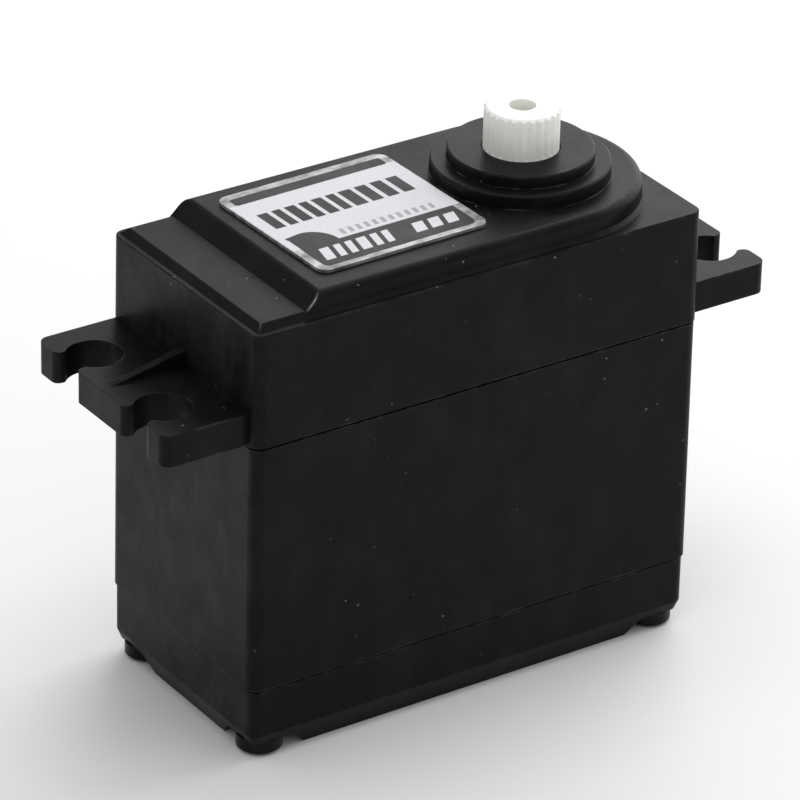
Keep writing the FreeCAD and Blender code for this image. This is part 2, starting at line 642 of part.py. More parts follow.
def output_gear():
    x, y = OUTPUT
    low_bore, low_z, low_top = LOWER_BEARING[0], LOWER_BEARING[2], LOWER_BEARING[3]
    up_bore, up_z, up_top = UPPER_BEARING[0], UPPER_BEARING[2], UPPER_BEARING[3]
    shoulder = low_top + 0.15
    profile = [(0, low_z), (low_bore - 0.1, low_z), (low_bore, low_z + 0.1), (low_bore, shoulder)]
    hub_top = OUTPUT_WHEEL_Z[0] + 0.2
    profile += [(OUTPUT_HUB_R - 0.4, shoulder), (OUTPUT_HUB_R, shoulder + 0.3), (OUTPUT_HUB_R, hub_top)]
    profile += [(up_bore + 0.5, hub_top), (up_bore + 0.5, up_z), (up_bore, up_z), (up_bore, up_top - 0.2)]
    profile += [(up_bore - 0.2, up_top), (NECK_R, up_top), (NECK_R, RING_2_Z), (0, RING_2_Z)]
    body = revolved(x, y, profile)
    body = body.fuse(gear(STAGE_4[0], STAGE_4[2], -SHIFT, OUTPUT, TURNS["output"], OUTPUT_WHEEL_Z))
    body = body.fuse(sector(x, y, LUG_Z, (OUTPUT_HUB_R - 0.5, LUG_TIP_R), 180, LUG_HALF_ANGLE))
    body = body.fuse(spline(RING_2_Z - 0.1, SPLINE_TOP_Z))
    body = body.cut(cylinder(x, y, SPLINE_TOP_Z - HORN_SCREW_HOLE_DEPTH, SPLINE_TOP_Z + 1, HORN_SCREW_HOLE_R))
    socket = cylinder(x, y, low_z - 1, POT_SHAFT_TOP_Z + 0.2, POT_SHAFT_R + 0.02)
    flat = block((x - 3, x + 3), (y + 0.72, y + 3), (low_z - 1, POT_SHAFT_TOP_Z + 1))
    return body.cut(socket.cut(flat)).removeSplitter()


def race_profile(r_plain, r_track, ball_track_r, middle_z, z0, z1):
    """One bearing ring: a plain cylinder on one side and a shallow round groove on the other."""
    ring_solid = revolved(OUTPUT_X, OUTPUT_Y, [(r_plain, z0), (r_track, z0), (r_track, z1), (r_plain, z1)])
    groove = Part.makeTorus(ball_track_r[0], ball_track_r[1], Vector(OUTPUT_X, OUTPUT_Y, middle_z))
    return ring_solid.cut(groove)


def bearing(size, stem):
    """A deep-groove ball bearing: two rings, the balls and their cage."""
    bore_r, outer_r, z0, z1, ball_r, count = size
    pitch_r = (bore_r + outer_r) / 2
    middle_z = (z0 + z1) / 2
    track = (pitch_r, ball_r + RACE_GAP)
    land = ball_r * 0.62
    NODES[stem + "_inner_ring"] = [race_profile(bore_r, pitch_r - land, track, middle_z, z0, z1)]
    NODES[stem + "_outer_ring"] = [race_profile(outer_r, pitch_r + land, track, middle_z, z0, z1)]
    balls = []
    cage_z = (middle_z - ball_r * 0.75, middle_z + ball_r * 1.1)
    cage = tube(OUTPUT_X, OUTPUT_Y, cage_z[0], cage_z[1], pitch_r + 0.16, pitch_r - 0.16)
    for k in range(count):
        a = 2 * math.pi * k / count
        place = Vector(OUTPUT_X + pitch_r * math.cos(a), OUTPUT_Y + pitch_r * math.sin(a), middle_z)
        balls.append(Part.makeSphere(ball_r, place))
        cage = cage.cut(Part.makeSphere(ball_r + 0.04, place))
    NODES[stem + "_balls"] = balls
    NODES[stem + "_cage"] = [cage]


# ---- the motor ----
def motor_can():
    x, y = MOTOR
    rounding = 0.8
    profile = [(MOTOR_R, MOTOR_BOTTOM_Z), (MOTOR_R, MOTOR_TOP_Z - rounding)]
    profile += [(MOTOR_R - rounding, MOTOR_TOP_Z)]
    profile += [(MOTOR_NOSE_R, MOTOR_TOP_Z), (MOTOR_NOSE_R, MOTOR_NOSE_Z), (1.6, MOTOR_NOSE_Z)]
    inner_top = MOTOR_TOP_Z - MOTOR_WALL
    inner_r = MOTOR_R - MOTOR_WALL
    profile += [(1.6, inner_top), (inner_r - rounding, inner_top), (inner_r, inner_top - rounding)]
    profile += [(inner_r, MOTOR_BOTTOM_Z)]
    can = revolved(x, y, profile)
    for side in (-1, 1):
        can = can.cut(cylinder(x, y + side * MOTOR_SCREW_SPACING / 2, inner_top - 1, 0, 0.62))
    return can


def motor_front_bushing():
    return tube(MOTOR[0], MOTOR[1], MOTOR_TOP_Z - 1.2, MOTOR_NOSE_Z, 1.6, MOTOR_SHAFT_R + 0.03)


def motor_magnets():
    return [sector(MOTOR[0], MOTOR[1], MAGNET_Z, MAGNET_R, middle, 62) for middle in (90, 270)]


def motor_end_bell():
    x, y = MOTOR
    inner_r = MOTOR_R - MOTOR_WALL
    body = cylinder(x, y, END_BELL_Z, MOTOR_BOTTOM_Z, MOTOR_R - 0.2)
    body = body.fuse(tube(x, y, MOTOR_BOTTOM_Z - 0.1, MOTOR_BOTTOM_Z + 1.6, inner_r - 0.02, inner_r - 1.0))
    body = body.cut(cylinder(x, y, END_BELL_Z - 1, 0, MOTOR_SHAFT_R + 0.04))
    for side in (-1, 1):
        tab_y = (y + side * 5.0 - 0.26, y + side * 5.0 + 0.26)
        body = body.cut(block((x - 0.9, x + 0.9), tab_y, (-21.6, -18.0)))
    return body.removeSplitter()


def motor_brushes():
    """Two spring-brass tabs: each passes through the end bell, and its inner end rests on the commutator."""
    x, y = MOTOR
    parts = []
    for side in (-1, 1):
        tab_y = (y + side * 5.0 - 0.25, y + side * 5.0 + 0.25)
        post = block((x - 0.85, x + 0.85), tab_y, (BOARD_Z[1] - 0.6, -17.6))
        arm_y = sorted((y + side * 5.25, y + side * (COMMUTATOR_R + 0.06)))
        arm = block((x - 0.85, x + 0.85), arm_y, (-17.6, -17.3))
        tip = block((x - 0.85, x + 0.85), sorted((y + side * 2.36, y + side * 1.96)), (-17.5, -16.6))
        parts.append(fused(post, arm, tip))
    return parts


def motor_screws():
    """Two pan-head screws that hold the motor to the deck from above."""
    parts = []
    for side in (-1, 1):
        y = MOTOR[1] + side * MOTOR_SCREW_SPACING / 2
        head_r = MOTOR_SCREW_HEAD_R
        low, high = MOTOR_SCREW_HEAD_Z
        tip = DECK_BOTTOM_Z - 1.3
        profile = [(0, tip), (0.6, tip), (0.6, DECK_BOTTOM_Z), (0.85, DECK_BOTTOM_Z)]
        profile += [(0.85, low), (head_r, low)]
        profile += [(head_r, high - 0.25), (head_r - 0.35, high), (0, high)]
        screw = revolved(MOTOR[0], y, profile)
        for half_x, half_y in ((0.8, 0.15), (0.15, 0.8)):
            slot_z = (high - 0.35, high + 1)
            screw = screw.cut(block((MOTOR[0] - half_x, MOTOR[0] + half_x), (y - half_y, y + half_y), slot_z))
        parts.append(screw)
    return parts


def motor_shaft():
    x, y = MOTOR
    top, bottom = MOTOR_PINION_Z[1], END_BELL_Z + 0.2
    profile = [(0, bottom), (MOTOR_SHAFT_R - 0.15, bottom), (MOTOR_SHAFT_R, bottom + 0.15)]
    profile += [(MOTOR_SHAFT_R, top - 0.15), (MOTOR_SHAFT_R - 0.15, top), (0, top)]
    return revolved(x, y, profile)


def armature_core():
    """A three-pole laminated core: a hub, three arms and three curved pole shoes."""
    x, y = MOTOR
    core = cylinder(x, y, ARMATURE_Z[0], ARMATURE_Z[1], 2.2)
    for k in range(3):
        arm = block((x, x + ARMATURE_R - 0.5), (y - 0.9, y + 0.9), ARMATURE_Z)
        arm.rotate(Vector(x, y, 0), Vector(0, 0, 1), 120 * k)
        core = core.fuse(arm)
        core = core.fuse(sector(x, y, ARMATURE_Z, (ARMATURE_R - 0.9, ARMATURE_R), 120 * k, 50))
    return core.cut(cylinder(x, y, ARMATURE_Z[0] - 1, ARMATURE_Z[1] + 1, MOTOR_SHAFT_R)).removeSplitter()


def armature_windings():
    """One coil round each arm of the core."""
    x, y = MOTOR
    coils = []
    for k in range(3):
        low, high = ARMATURE_Z
        outline = rounded_rectangle((x + 2.6, x + 4.4), (y - 2.1, y + 2.1), low - 1.1, 0.6)
        coil = prism(outline, high - low + 2.2)
        coil = coil.cut(block((x, x + ARMATURE_R), (y - 0.9, y + 0.9), ARMATURE_Z))
        coil.rotate(Vector(x, y, 0), Vector(0, 0, 1), 120 * k)
        limit = sector(x, y, (low - 1.2, high + 1.2), (2.25, 4.6), 120 * k, 58)
        coils.append(coil.common(limit))
    return coils


def commutator():
    x, y = MOTOR
    body = tube(x, y, COMMUTATOR_Z[0], COMMUTATOR_Z[1], COMMUTATOR_R, MOTOR_SHAFT_R)
    for k in range(3):
        slit = block((x + 1.4, x + 3), (y - 0.1, y + 0.1), (COMMUTATOR_Z[0] - 1, COMMUTATOR_Z[1] - 0.3))
        slit.rotate(Vector(x, y, 0), Vector(0, 0, 1), 120 * k + 60)
        body = body.cut(slit)
    return body


# ---- the position sensor and the circuit board ----
def pot_housing():
    x, y = OUTPUT
    body = cylinder(x, y, POT_Z[0], POT_Z[1], POT_R)
    body = body.cut(cylinder(x, y, POT_Z[0] + 1.0, POT_Z[1] - 1.0, POT_R - 0.7))
    body = body.cut(cylinder(x, y, POT_Z[1] - 2, POT_Z[1] + 1, POT_SHAFT_R + 0.05))
    for terminal in pot_terminals():
        body = body.cut(terminal)
    return body


def pot_shaft():
    """The sensor's shaft, with a flat that keys into the output gear and a flange inside the housing."""
    x, y = OUTPUT
    flange_z = (POT_Z[0] + 2.6, POT_Z[0] + 3.6)
    profile = [(0, flange_z[0]), (2.6, flange_z[0]), (2.6, flange_z[1]), (POT_SHAFT_R, flange_z[1])]
    profile += [(POT_SHAFT_R, POT_SHAFT_TOP_Z - 0.2), (POT_SHAFT_R - 0.2, POT_SHAFT_TOP_Z)]
    profile += [(0, POT_SHAFT_TOP_Z)]
    body = revolved(x, y, profile)
    return body.cut(block((x - 3, x + 3), (y + 0.7, y + 3), (LOWER_BEARING[2] - 0.3, POT_SHAFT_TOP_Z + 1)))


def pot_wiper():
    """The contact spring under the shaft's flange, which slides over the resistive track."""
    x, y = OUTPUT
    top = POT_Z[0] + 2.6
    plate = tube(x, y, top - 0.2, top, 2.4, 0.8)
    arm = block((x - 4.3, x - 2.0), (y - 0.8, y + 0.8), (top - 0.2, top))
    tip = block((x - 4.3, x - 3.9), (y - 0.8, y + 0.8), (POT_Z[0] + 1.5, top))
    return fused(plate, arm, tip)


def pot_track():
    """The resistive element on the floor of the sensor's housing."""
    return sector(OUTPUT_X, OUTPUT_Y, (POT_Z[0] + 1.0, POT_Z[0] + 1.4), (3.2, 4.8), 180, 140)


def wire(points, r):
    """A round wire along straight runs joined by tangent arcs, each as large as its two runs allow."""
    edges = []
    start = points[0]
    for before, corner, after in zip(points, points[1:], points[2:]):
        inward = (before - corner).normalize()
        outward = (after - corner).normalize()
        half = math.pi / 2 - inward.getAngle(outward) / 2
        cut = 0.45 * min((before - corner).Length, (after - corner).Length)
        radius = cut / math.tan(half)
        first, last = corner + inward * cut, corner + outward * cut
        centre = corner + (inward + outward).normalize() * (radius / math.cos(half))
        middle = centre + (corner - centre).normalize() * radius
        edges += [Part.makeLine(start, first), Part.Arc(first, middle, last).toShape()]
        start = last
    edges.append(Part.makeLine(start, points[-1]))
    path = Part.Wire(edges)
    section = Part.Wire([Part.makeCircle(r, points[0], points[1] - points[0])])
    return path.makePipeShell([section], True, False)


def pot_wires():
    """Three insulated wires from the sensor down to the circuit board."""
    wires = []
    for k in (-1, 0, 1):
        top = Vector(OUTPUT_X - 2.0, 1.8 * k, POT_Z[0] - 0.1)
        bend = Vector(OUTPUT_X - 2.0, 1.8 * k, POT_Z[0] - 4.0)
        lower = Vector(OUTPUT_X - 5.0, 1.6 * k, POT_Z[0] - 8.6)
        foot = Vector(OUTPUT_X - 5.0, 1.6 * k, BOARD_Z[1])
        wires.append(wire([top, bend, lower, foot], 0.4))
    return wires


def pot_terminals():
    """Three tinned pins under the sensor, which the wires are soldered to."""
    x = OUTPUT_X - 2.0
    terminals = []
    z = (POT_Z[0] - 0.1, POT_Z[0] + 0.9)
    for k in (-1, 0, 1):
        terminals.append(block((x - 0.2, x + 0.2), (1.8 * k - 0.4, 1.8 * k + 0.4), z))
    return terminals


def circuit_board():
    corners = [(BOARD_X, BOARD_NOTCH_Y), (BOARD_NOTCH_X, BOARD_NOTCH_Y), (BOARD_NOTCH_X, BOARD_Y)]
    points = []
    for sx, sy in ((1, 1), (-1, 1), (-1, -1), (1, -1)):
        order = corners if sx * sy > 0 else corners[::-1]
        points += [Vector(sx * x, sy * y, BOARD_Z[0]) for x, y in order]
    board = prism(polygon(points), BOARD_Z[1] - BOARD_Z[0])
    for side in (-1, 1):
        hole_y = MOTOR[1] + side * 5.0
        tab_x = (MOTOR[0] - 0.95, MOTOR[0] + 0.95)
        board = board.cut(block(tab_x, (hole_y - 0.35, hole_y + 0.35), (-24, -22)))
    for side in (-1, 0, 1):
        board = board.cut(cylinder(15.6, side * 1.27, -24, -22, 0.45))
    return board


def chip(x, y, length, width, height, pins, pitch):
    """A surface-mounted chip: a moulded body, with its leads along the two long sides."""
    z = BOARD_Z[1]
    body = block((x - length / 2, x + length / 2), (y - width / 2, y + width / 2), (z + 0.1, z + height))
    for k in range(pins):
        lead_x = x + (k - (pins - 1) / 2) * pitch
        for side in (-1, 1):
            edge = y + side * width / 2
            lead_y = sorted((edge - side * 0.2, edge + side * 0.9))
            foot_y = sorted((edge + side * 0.5, edge + side * 0.9))
            body = body.fuse(block((lead_x - 0.2, lead_x + 0.2), lead_y, (z + 0.5, z + 0.7)))
            body = body.fuse(block((lead_x - 0.2, lead_x + 0.2), foot_y, (z, z + 0.7)))
    return body.removeSplitter()


def control_chip():
    return chip(MOTOR[0], MOTOR[1], 8.6, 3.9, 1.5, 7, 1.27)


def driver_chips():
    return [chip(x, -4.6, 4.6, 3.4, 1.4, 4, 1.0) for x in (4.4, 10.6)]


def board_capacitor():
    foot, top, r = BOARD_Z[1], BOARD_Z[1] + 4.9, 2.0
    profile = [(0, foot), (r, foot), (r, foot + 0.7), (r - 0.15, foot + 0.9)]
    profile += [(r, foot + 1.1), (r, top - 0.3), (r - 0.3, top), (0, top)]
    return revolved(12.5, 4.8, profile)


# ---- every node ----
def build():
    NODES["bottom_cover"] = [bottom_cover()]
    NODES["middle_case"] = [middle_case()]
    NODES["top_case"] = [top_case()]
    NODES["label"] = [label()]
    NODES["case_screws"] = case_screws()
    NODES["cable_gland"] = [cable_gland()]
    NODES["centre_pin"] = [pin(CENTRE)]
    NODES["second_pin"] = [pin(SECOND)]
    NODES["motor_pinion"] = [motor_pinion()]
    turn = TURNS["gear_1"]
    NODES["gear_1"] = [
        compound_gear(CENTRE, turn, STAGE_1, GEAR_1_WHEEL_Z, STAGE_2, GEAR_1_PINION_Z, GEAR_1_FOOT_Z)
    ]
    turn = TURNS["gear_2"]
    NODES["gear_2"] = [
        compound_gear(SECOND, turn, STAGE_2, GEAR_2_WHEEL_Z, STAGE_3, GEAR_2_PINION_Z, GEAR_2_WHEEL_Z[0])
    ]
    turn = TURNS["gear_3"]
    NODES["gear_3"] = [
        compound_gear(CENTRE, turn, STAGE_3, GEAR_3_WHEEL_Z, STAGE_4, GEAR_3_PINION_Z, GEAR_3_FOOT_Z)
    ]
    NODES["output_gear"] = [output_gear()]
    bearing(UPPER_BEARING, "upper_bearing")
    bearing(LOWER_BEARING, "lower_bearing")
    NODES["motor_can"] = [motor_can()]
    NODES["motor_front_bushing"] = [motor_front_bushing()]
    NODES["motor_magnets"] = motor_magnets()
    NODES["motor_end_bell"] = [motor_end_bell()]
    NODES["motor_brushes"] = motor_brushes()
    NODES["motor_screws"] = motor_screws()
    NODES["motor_shaft"] = [motor_shaft()]
    NODES["armature_core"] = [armature_core()]
    NODES["armature_windings"] = armature_windings()
    NODES["commutator"] = [commutator()]
    NODES["pot_housing"] = [pot_housing()]
    NODES["pot_shaft"] = [pot_shaft()]
    NODES["pot_wiper"] = [pot_wiper()]
    NODES["pot_track"] = [pot_track()]
    NODES["pot_terminals"] = pot_terminals()
    NODES["pot_wires"] = pot_wires()
    NODES["circuit_board"] = [circuit_board()]
    NODES["control_chip"] = [control_chip()]
    NODES["driver_chips"] = driver_chips()
    NODES["board_capacitor"] = [board_capacitor()]


def write_steps():
    os.makedirs("parts", exist_ok=True)
    for name, solids in NODES.items():
        shape = Part.makeCompound([s for piece in solids for s in piece.Solids])
        shape.exportStep("parts/" + name + ".step")
        print(name, len(shape.Solids), "solids, volume", round(shape.Volume, 2), "valid", shape.isValid())


build()
write_steps()
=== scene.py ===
import json
import math

import bpy
from mathutils import Matrix, Vector


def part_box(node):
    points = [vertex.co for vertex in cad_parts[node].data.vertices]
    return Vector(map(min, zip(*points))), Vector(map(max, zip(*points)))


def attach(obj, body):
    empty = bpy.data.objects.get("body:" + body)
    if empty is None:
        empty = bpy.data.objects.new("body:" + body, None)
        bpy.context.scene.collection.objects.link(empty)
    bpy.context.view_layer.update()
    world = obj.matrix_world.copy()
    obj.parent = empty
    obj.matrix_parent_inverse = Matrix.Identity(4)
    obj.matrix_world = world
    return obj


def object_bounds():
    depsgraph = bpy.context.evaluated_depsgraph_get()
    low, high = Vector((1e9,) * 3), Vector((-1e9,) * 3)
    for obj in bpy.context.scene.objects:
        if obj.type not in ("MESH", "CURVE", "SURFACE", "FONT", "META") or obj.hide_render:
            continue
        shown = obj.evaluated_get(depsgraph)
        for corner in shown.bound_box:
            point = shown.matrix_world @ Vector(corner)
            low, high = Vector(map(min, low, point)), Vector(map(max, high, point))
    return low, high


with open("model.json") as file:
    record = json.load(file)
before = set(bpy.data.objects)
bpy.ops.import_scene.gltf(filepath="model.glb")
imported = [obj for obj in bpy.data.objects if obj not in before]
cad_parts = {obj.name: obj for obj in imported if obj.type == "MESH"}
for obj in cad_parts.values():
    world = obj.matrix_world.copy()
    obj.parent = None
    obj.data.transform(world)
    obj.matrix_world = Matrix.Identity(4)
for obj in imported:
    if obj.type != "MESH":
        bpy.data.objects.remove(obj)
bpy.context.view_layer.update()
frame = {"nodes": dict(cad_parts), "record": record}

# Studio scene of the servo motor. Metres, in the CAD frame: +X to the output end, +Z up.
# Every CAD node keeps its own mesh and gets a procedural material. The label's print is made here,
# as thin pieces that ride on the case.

MM = 0.001
NODES = frame["nodes"]
RECORD = frame["record"]


# ---- camera: a long lens, from the near left and above ----
CAMERA_AZIMUTH = 34.47
CAMERA_ELEVATION = 28.14
CAMERA_ROLL = 1.42
CAMERA_DISTANCE = 0.4426
CAMERA_LENS = 258.4
CAMERA_SENSOR = 36.0
CAMERA_CLIP = (0.01, 20.0)
CAMERA_TARGET = Vector((-0.58, -0.15, -5.85)) * MM


def make_camera():
    azimuth = math.radians(CAMERA_AZIMUTH)
    elevation = math.radians(CAMERA_ELEVATION)
    level = math.cos(elevation)
    forward = Vector((math.sin(azimuth) * level, math.cos(azimuth) * level, -math.sin(elevation)))
    data = bpy.data.cameras.new("camera")
    data.lens = CAMERA_LENS
    data.sensor_width = CAMERA_SENSOR
    data.clip_start, data.clip_end = CAMERA_CLIP
    camera = bpy.data.objects.new("camera", data)
    camera.location = CAMERA_TARGET - forward * CAMERA_DISTANCE
    turn = forward.to_track_quat("-Z", "Y").to_matrix().to_4x4()
    roll = Matrix.Rotation(math.radians(CAMERA_ROLL), 4, "Z")
    camera.rotation_mode = "QUATERNION"
    camera.rotation_quaternion = (turn @ roll).to_quaternion()
    bpy.context.scene.collection.objects.link(camera)
    bpy.context.scene.camera = camera


# ---- node materials ----
RAY_SAMPLES = 6         # of every bevel and occlusion node
EDGE_TURN = 0.35        # how far the normal has to turn for a full edge
WIDE = (0.3, 0.7)       # the part of a noise's range that a soft mask uses
NARROW = (0.35, 0.65)   # the same for a harder mask
FINE_DEPTH = 0.000004   # of drawn and brushed marks
GRAIN_DEPTH = 0.00001   # of moulded grain


class Shader:
    """A small helper that builds one Principled material node by node."""

    def __init__(self, name, colour, roughness, metallic=0.0, specular=0.5):
        self.material = bpy.data.materials.new(name)
        self.material.use_nodes = True
        self.nodes = self.material.node_tree.nodes
        self.links = self.material.node_tree.links
        self.bsdf = self.nodes["Principled BSDF"]
        self.bsdf.inputs["Base Color"].default_value = (*colour, 1.0)
        self.bsdf.inputs["Roughness"].default_value = roughness
        self.bsdf.inputs["Metallic"].default_value = metallic
        self.bsdf.inputs["Specular IOR Level"].default_value = specular
        self.position = self.nodes.new("ShaderNodeTexCoord").outputs["Object"]
        self.normal = None

    def new(self, kind, **values):
        node = self.nodes.new(kind)
        for key, value in values.items():
            setattr(node, key, value)
        return node

    def stretched(self, scale):
        """The object position scaled along each axis, for grain that runs one way."""
        mapping = self.new("ShaderNodeMapping")
        mapping.inputs["Scale"].default_value = scale
        self.links.new(self.position, mapping.inputs["Vector"])
        return mapping.outputs["Vector"]

    def noise(self, scale, detail=3.0, roughness=0.55, stretch=None):
        node = self.new("ShaderNodeTexNoise")
        node.inputs["Scale"].default_value = scale
        node.inputs["Detail"].default_value = detail
        node.inputs["Roughness"].default_value = roughness
        vector = self.stretched(stretch) if stretch else self.position
        self.links.new(vector, node.inputs["Vector"])
        return node.outputs["Fac"]

    def cells(self, scale, wobble):
        """Distance to the middle of each cell, and a random value from 0 to 1 for each cell."""
        bend = self.new("ShaderNodeTexNoise")
        bend.inputs["Scale"].default_value = scale * 4
        self.links.new(self.position, bend.inputs["Vector"])
        shifted = self.new("ShaderNodeVectorMath", operation="MULTIPLY_ADD")
        shifted.inputs[1].default_value = (wobble,) * 3
        self.links.new(bend.outputs["Color"], shifted.inputs[0])
        self.links.new(self.position, shifted.inputs[2])
        node = self.new("ShaderNodeTexVoronoi")
        node.inputs["Scale"].default_value = scale
        self.links.new(shifted.outputs["Vector"], node.inputs["Vector"])
        split = self.new("ShaderNodeSeparateColor")
        self.links.new(node.outputs["Color"], split.inputs["Color"])
        return node.outputs["Distance"], split.outputs["Red"]

    def along(self, vector, axis):
        """One component of a vector socket."""
        split = self.new("ShaderNodeSeparateXYZ")
        self.links.new(vector, split.inputs["Vector"])
        return split.outputs[axis]

    def ramp(self, source, low, high, from_min, from_max):
        """Source between from_min and from_max becomes low to high."""
        node = self.new("ShaderNodeMapRange")
        node.inputs["From Min"].default_value = from_min
        node.inputs["From Max"].default_value = from_max
        node.inputs["To Min"].default_value = low
        node.inputs["To Max"].default_value = high
        self.links.new(source, node.inputs["Value"])
        return node.outputs["Result"]

    def mask(self, source, from_min, from_max):
        """0 where the source is at from_min or less, 1 at from_max or more."""
        return self.ramp(source, 0.0, 1.0, from_min, from_max)

    def mix(self, factor, first, second):
        """A colour mix. First and second are colours or sockets."""
        node = self.new("ShaderNodeMix", data_type="RGBA")
        self.links.new(factor, node.inputs["Factor"])
        for name, value in (("A", first), ("B", second)):
            socket = [s for s in node.inputs if s.name == name and s.type == "RGBA"][0]
            if isinstance(value, tuple):
                socket.default_value = (*value, 1.0)
            else:
                self.links.new(value, socket)
        return [s for s in node.outputs if s.type == "RGBA"][0]

    def calc(self, operation, first, second):
        node = self.new("ShaderNodeMath", operation=operation)
        self.links.new(first, node.inputs[0])
        self.links.new(second, node.inputs[1])
        return node.outputs[0]

    def both(self, first, *others):
        """1 where every mask is 1."""
        for other in others:
            first = self.calc("MULTIPLY", first, other)
        return first

    def edges(self, radius):
        """1 where the surface turns sharply, 0 on flat faces."""
        bevel = self.new("ShaderNodeBevel", samples=RAY_SAMPLES)
        bevel.inputs["Radius"].default_value = radius
        geometry = self.new("ShaderNodeNewGeometry")
        dot = self.new("ShaderNodeVectorMath", operation="DOT_PRODUCT")
        self.links.new(bevel.outputs["Normal"], dot.inputs[0])
        self.links.new(geometry.outputs["Normal"], dot.inputs[1])
        return self.ramp(dot.outputs["Value"], 1.0, 0.0, 1.0 - EDGE_TURN, 1.0)

    def occlusion(self, reach, low, high, **values):
        """1 where the occlusion node reads low or less, 0 at high or more."""
        node = self.new("ShaderNodeAmbientOcclusion", samples=RAY_SAMPLES, only_local=True,
                        **values)
        node.inputs["Distance"].default_value = reach
        return self.ramp(node.outputs["AO"], 1.0, 0.0, low, high)

    def outer_edges(self, reach, low=0.62, high=0.92):
        """1 along edges that stand out, 0 on flat faces and in inside corners."""
        return self.occlusion(reach, low, high, inside=True)

    def inner_corners(self, reach, low=0.5, high=0.72):
        """1 in inside corners, 0 on flat faces and along edges that stand out."""
        return self.occlusion(reach, low, high)

    def end_walls(self, low=0.7, high=0.95):
        """1 on faces that look along X either way, 0 elsewhere."""
        across = self.along(self.new("ShaderNodeNewGeometry").outputs["Normal"], "X")
        return self.mask(self.calc("MULTIPLY", across, across), low, high)

    def near(self, point, reach):
        """1 within half the reach of a point, falling to 0 at the whole reach."""
        node = self.new("ShaderNodeVectorMath", operation="DISTANCE")
        self.links.new(self.position, node.inputs[0])
        node.inputs[1].default_value = point
        return self.ramp(node.outputs["Value"], 1.0, 0.0, reach * 0.5, reach)

    def soft_edges(self, radius):
        """Rounds the shading of every sharp edge. It comes before any bump."""
        bevel = self.new("ShaderNodeBevel", samples=RAY_SAMPLES)
        bevel.inputs["Radius"].default_value = radius
        self.normal = bevel.outputs["Normal"]

    def bump(self, height, distance, strength):
        node = self.new("ShaderNodeBump")
        node.inputs["Strength"].default_value = strength
        node.inputs["Distance"].default_value = distance
        self.links.new(height, node.inputs["Height"])
        if self.normal is not None:
            self.links.new(self.normal, node.inputs["Normal"])
        self.normal = node.outputs["Normal"]

    def colour(self, socket):
        self.links.new(socket, self.bsdf.inputs["Base Color"])

    def roughness(self, socket):
        self.links.new(socket, self.bsdf.inputs["Roughness"])

    def done(self):
        if self.normal is not None:
            self.links.new(self.normal, self.bsdf.inputs["Normal"])
        return self.material


def scaled(colour, factor):
    return tuple(c * factor for c in colour)


def lifted(colour, factor, step):
    """A brighter colour: scaled, raised by a step and kept within 1."""
    return tuple(min(1.0, c * factor + step) for c in colour)


# ---- the case's black nylon ----
BLACK = (0.005, 0.005, 0.0055)
BLACK_DEEP = (0.0036, 0.0036, 0.004)
BLACK_PALE = (0.0064, 0.0064, 0.0068)
SCUFFED = (0.013, 0.013, 0.0135)
HANDLED = (0.026, 0.026, 0.028)
# Pale edges, partly worn and partly a painted edge highlight.
WORN_EDGE_AND_HIGHLIGHT = (0.045, 0.045, 0.045)
# A painted glint along the inside corners at the feet of the boss and its rings.
PAINTED_GLINT = (0.1, 0.1, 0.1)
DUST_SPECK = (0.26, 0.26, 0.255)
# A painted highlight on the near left corners of the platform and of the pad.
PAINTED_HIGHLIGHT = (0.5, 0.5, 0.49)

DUST_CELLS_PER_METRE = 760.0
DUST_WOBBLE = 0.0004
GLINT_ABOVE = (0.0108, 0.0111)    # the painted glint in the inside corners starts above this height
EDGE_REACH = 0.00022
CORNER_REACH = 0.0003
FOOT_REACH = 0.0002
CASE_EDGE_RADIUS = 0.00009

# The near left corners of the platform and of the pad, in mm from the label and the case, where a
# highlight is painted.
PLATFORM_CORNER = Vector((-1.75, -2.35, -0.35))
PLATFORM_HIGHLIGHT_REACH = 1.3
PAD_INSET_X, PAD_INSET_Y, PAD_BELOW_LABEL = 1.1, 1.05, 1.25
PAD_HIGHLIGHT_REACH = 0.6


def highlighted_corners():
    """The two corners where a highlight is painted, each with its reach."""
    label_low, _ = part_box("label")
    case_low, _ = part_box("middle_case")
    platform = label_low + PLATFORM_CORNER * MM
    pad = Vector((case_low.x + PAD_INSET_X * MM, case_low.y + PAD_INSET_Y * MM,
                  label_low.z - PAD_BELOW_LABEL * MM))
    return ((platform, PLATFORM_HIGHLIGHT_REACH * MM), (pad, PAD_HIGHLIGHT_REACH * MM))


def dust_specks(s):
    """Small bright specks: the middles of some cells, in some patches."""
    middle, chance = s.cells(DUST_CELLS_PER_METRE, DUST_WOBBLE)
    return s.both(s.ramp(middle, 1.0, 0.0, 0.02, 0.09),
                  s.mask(chance, 0.62, 0.95),
                  s.mask(s.noise(150.0, 1.0), 0.35, 0.5))


def foot_glint(s):
    """A painted glint in the inside corners at the foot of the boss and its rings."""
    return s.both(s.inner_corners(FOOT_REACH),
                  s.mask(s.along(s.position, "Z"), *GLINT_ABOVE),
                  s.mask(s.noise(520.0, 2.0), 0.45, 0.6))


